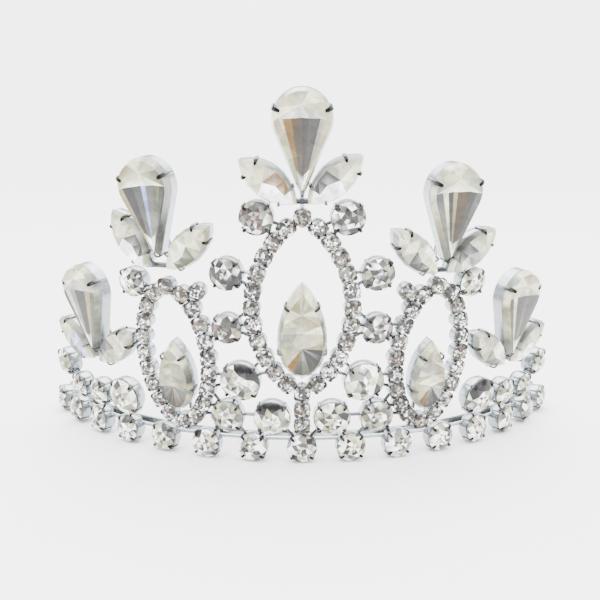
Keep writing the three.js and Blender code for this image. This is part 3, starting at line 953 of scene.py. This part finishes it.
def round_unit(piece, radius, place, rng, palette, shadow=None):
    """A round stone in its claw cup."""
    depth = ROUND_DEPTH
    body = disc(radius - 0.1, 32)
    rings = [ring(body, -depth + 0.2, 0.5), ring(body, -depth + 0.2, 0.55), ring(body, -depth, 0.6),
             ring(body, -depth, 0.78), ring(body, -depth + 0.2, 0.88), ring(body, -depth + 1.2),
             ring(body, -0.35), ring(body, -0.12, 0.99), ring(body, -0.15, 0.96),
             ring(body, -1.0, 0.88)]
    # Painted shade: darker under the cup's foot and black inside, behind the front edge.
    tones = [GREY, SLATE, STEEL, STEEL, PALE, SILVER, SILVER, STEEL, SLATE, BLACK]
    loft(piece, rings, place, tones)
    chaton(piece, radius * 0.955, place, rng, palette, spin=rng.uniform(0, 0.7), shadow=shadow)
    # Painted shade on the claws' tips.
    tips = [CLAW_TIP_SHADE, CLAW_TIP_SHADE, SLATE]
    four_claws(piece, radius - 0.12, place, rng, tips, 0.95, 0.8, over=0.55, root=-2.4)


def cup_places():
    """Name, place and radius of every round cup, chain cup and base cup.
    Only the round cups have names."""
    cups = []
    for name, angle, up, radius in ROUNDS:
        for side, label in ((-1, "left"), (1, "right")):
            cups.append((f"{name}_{label}", seat(side * math.radians(angle), up), radius))
    for motif in MOTIFS:
        if motif["loop"]:
            angle = math.radians(motif["angle"])
            for x, up, turn in loop_points(LOOPS[motif["loop"]]):
                cups.append(("", seat_across(angle, x, up, turn), CHAIN_R))
    for k in range(-BASE_EACH_SIDE, BASE_EACH_SIDE + 1):
        cups.append(("", seat(k * BASE_PITCH, 0), BASE_HALF))
    return cups


SOLDER_REACH, SOLDER_MOST = 2.6, 5  # the widest gap that is soldered, and wires for each cup
SOLDER_R = 0.42


def make_rounds():
    """The round cups between the motifs, with solder wires to their nearest neighbours."""
    cups = cup_places()
    for name, place, radius in cups:
        if not name:
            continue
        rng = random.Random(name)
        piece = Piece()
        palette = ROUND_MIX.get(name, LIGHT_MIX)
        round_unit(piece, radius, place, rng, palette, ROUND_SHADOW.get(name))
        middle = place.translation - place.col[2].xyz * 2.0
        near = []
        for other_name, other, reach in cups:
            span = (other.translation - place.translation).length
            close = 0 < span < radius + reach + SOLDER_REACH
            if close and (not other_name or name < other_name):
                near.append((span - radius - reach, other, reach))
        for _, other, reach in sorted(near, key=lambda item: item[0])[:SOLDER_MOST]:
            far = other.translation - other.col[2].xyz * 1.9
            along = (far - middle).normalized()
            start, stop = middle + along * radius * 0.8, far - along * reach * 0.7
            line = [start, (start + stop) / 2, stop]
            tube(piece, line, SOLDER_R, Matrix.Identity(4), STEEL, 6)
        row, side = name.rsplit("_", 1)
        piece.finish(f"{row}_round_{side}")


def arc_line(radius, level, start, end, steps):
    """Points on a level arc about the arc's axis."""
    line = []
    for k in range(steps + 1):
        angle = start + (end - start) * k / steps
        line.append((math.sin(angle) * radius, AXIS_Y - math.cos(angle) * radius, level))
    return line


ARC_STEPS = 90  # along the base wire and along the band


def make_base_row():
    piece = Piece()
    rng = random.Random("base")
    last = BASE_EACH_SIDE * BASE_PITCH
    wire = arc_line(ARC - 2.2, BASE_HALF + 1.7, -last, last, ARC_STEPS)
    tube(piece, wire, WIRE_R, Matrix.Identity(4), SILVER)
    for k in range(-BASE_EACH_SIDE, BASE_EACH_SIDE + 1):
        angle = k * BASE_PITCH
        radial, across = compass(angle)
        place = basis(across, UP, radial, radial * ARC + Vector((0, AXIS_Y, BASE_HALF)))
        round_unit(piece, BASE_HALF + 0.1, place, rng, rng.choice([SPARKLE, SPARKLE, LIGHT_MIX]))
    piece.finish("base_row")


EYE_R, EYE_STEPS = 2.05, 24


def make_band():
    """A flat strip with rolled edges, and a wire eye soldered on at each end."""
    piece = Piece()
    radius, low, tall = ARC - 5.2, BASE_HALF + 0.4, 2.0
    section = ((-0.25, 0), (0.25, 0), (0.42, 0.25), (0.3, 0.6), (0.3, tall - 0.6),
               (0.42, tall - 0.25), (0.25, tall), (-0.25, tall), (-0.42, tall - 0.25),
               (-0.42, 0.25))
    rings = []
    for k in range(ARC_STEPS + 1):
        radial, _ = compass(-BAND_END + 2 * BAND_END * k / ARC_STEPS)
        rings.append([radial * (radius + out) + Vector((0, AXIS_Y, low + level))
                      for out, level in section])
    loft(piece, rings, Matrix.Identity(4), [SILVER] * len(rings))
    for side in (-1, 1):
        radial, _ = compass(side * (BAND_END + math.radians(1.5)))
        centre = radial * (radius - 0.6) + Vector((0, AXIS_Y, low + tall / 2))
        circle = [
            centre + Vector((math.cos(t), math.sin(t), 0)) * EYE_R
            for t in (2 * math.pi * k / EYE_STEPS + 0.3 for k in range(EYE_STEPS))
        ]
        tube(piece, circle, WIRE_R, Matrix.Identity(4), STEEL)
    piece.finish("rear_band")


for one in MOTIFS:
    make_pear(one)
    make_leaves(one)
    if one["loop"]:
        make_loop(one)
        make_drop(one)
make_rounds()
make_base_row()
make_band()

# ---- floor, light and camera ----


# From here on, lengths are in metres.
FLOOR_HALF, FLOOR_DROP = 8.0, 0.0002
PAPER = (0.86, 0.86, 0.86, 1)


def make_stage():
    mesh = bpy.data.meshes.new("floor")
    corners = [(x * FLOOR_HALF, y * FLOOR_HALF, 0) for x, y in ((-1, -1), (1, -1), (1, 1), (-1, 1))]
    mesh.from_pydata(corners, [], [(0, 1, 2, 3)])
    floor = bpy.data.objects.new("floor", mesh)
    bpy.context.scene.collection.objects.link(floor)
    material, _, _, shader = make_material("floor_paper")
    shader.inputs["Base Color"].default_value = PAPER
    shader.inputs["Roughness"].default_value = 0.9
    mesh.materials.append(material)
    floor.location.z = -FLOOR_DROP


LIT = (0, 0, 0.04)  # the middle of the tiara, which the lights face


def make_light(name, place, size, power):
    data = bpy.data.lights.new(name, "AREA")
    data.shape = "DISK"
    data.size = size
    data.energy = power
    light = bpy.data.objects.new(name, data)
    light.location = place
    light.rotation_euler = (Vector(LIT) - Vector(place)).to_track_quat("-Z", "Y").to_euler()
    bpy.context.scene.collection.objects.link(light)


make_stage()
make_light("key", (-0.5, -0.7, 0.9), 0.35, 9)
make_light("fill", (0.7, -0.5, 0.5), 0.6, 3)
make_light("top", (0, 0.3, 1.0), 0.7, 4)


SKY_STRENGTH = 5.0
ZENITH = 1.45
# Height and brightness of the bands between the ground and the zenith.
SKY_BANDS = ((0.22, 1.0), (0.33, 0.3), (0.5, 0.35), (0.62, ZENITH))


def make_world():
    """White round the horizon, a darker band above it that the metal picks up, and a bright top."""
    world = bpy.data.worlds.new("studio")
    world.use_nodes = True
    nodes, links = world.node_tree.nodes, world.node_tree.links
    coords = nodes.new("ShaderNodeTexCoord")
    split = nodes.new("ShaderNodeSeparateXYZ")
    ramp = nodes.new("ShaderNodeValToRGB")
    stops = ramp.color_ramp.elements
    stops[0].position, stops[0].color = 0.0, (1, 1, 1, 1)
    stops[1].position, stops[1].color = 1.0, (ZENITH, ZENITH, ZENITH, 1)
    for place, level in SKY_BANDS:
        stop = stops.new(place)
        stop.color = (level, level, level * 1.01, 1)
    links.new(coords.outputs["Generated"], split.inputs["Vector"])
    links.new(split.outputs["Z"], ramp.inputs["Fac"])
    back = nodes["Background"]
    links.new(ramp.outputs["Color"], back.inputs["Color"])
    back.inputs["Strength"].default_value = SKY_STRENGTH
    bpy.context.scene.world = world


make_world()

camera_data = bpy.data.cameras.new("camera")
camera_data.lens = 50
camera_data.sensor_width = 36
camera_data.clip_start = 0.01
camera = bpy.data.objects.new("camera", camera_data)
bpy.context.scene.collection.objects.link(camera)
tilt = math.radians(10.8)
distance = 198.5  # mm from the aim, which is in mm too
aim = Vector((-0.5, AXIS_Y - ARC, BASE_HALF + 37.2))
camera.location = (aim - Vector((0, math.cos(tilt), -math.sin(tilt))) * distance) * M_PER_MM
camera.rotation_euler = (math.radians(90) - tilt, 0, 0)
bpy.context.scene.camera = camera

bpy.context.view_layer.update()
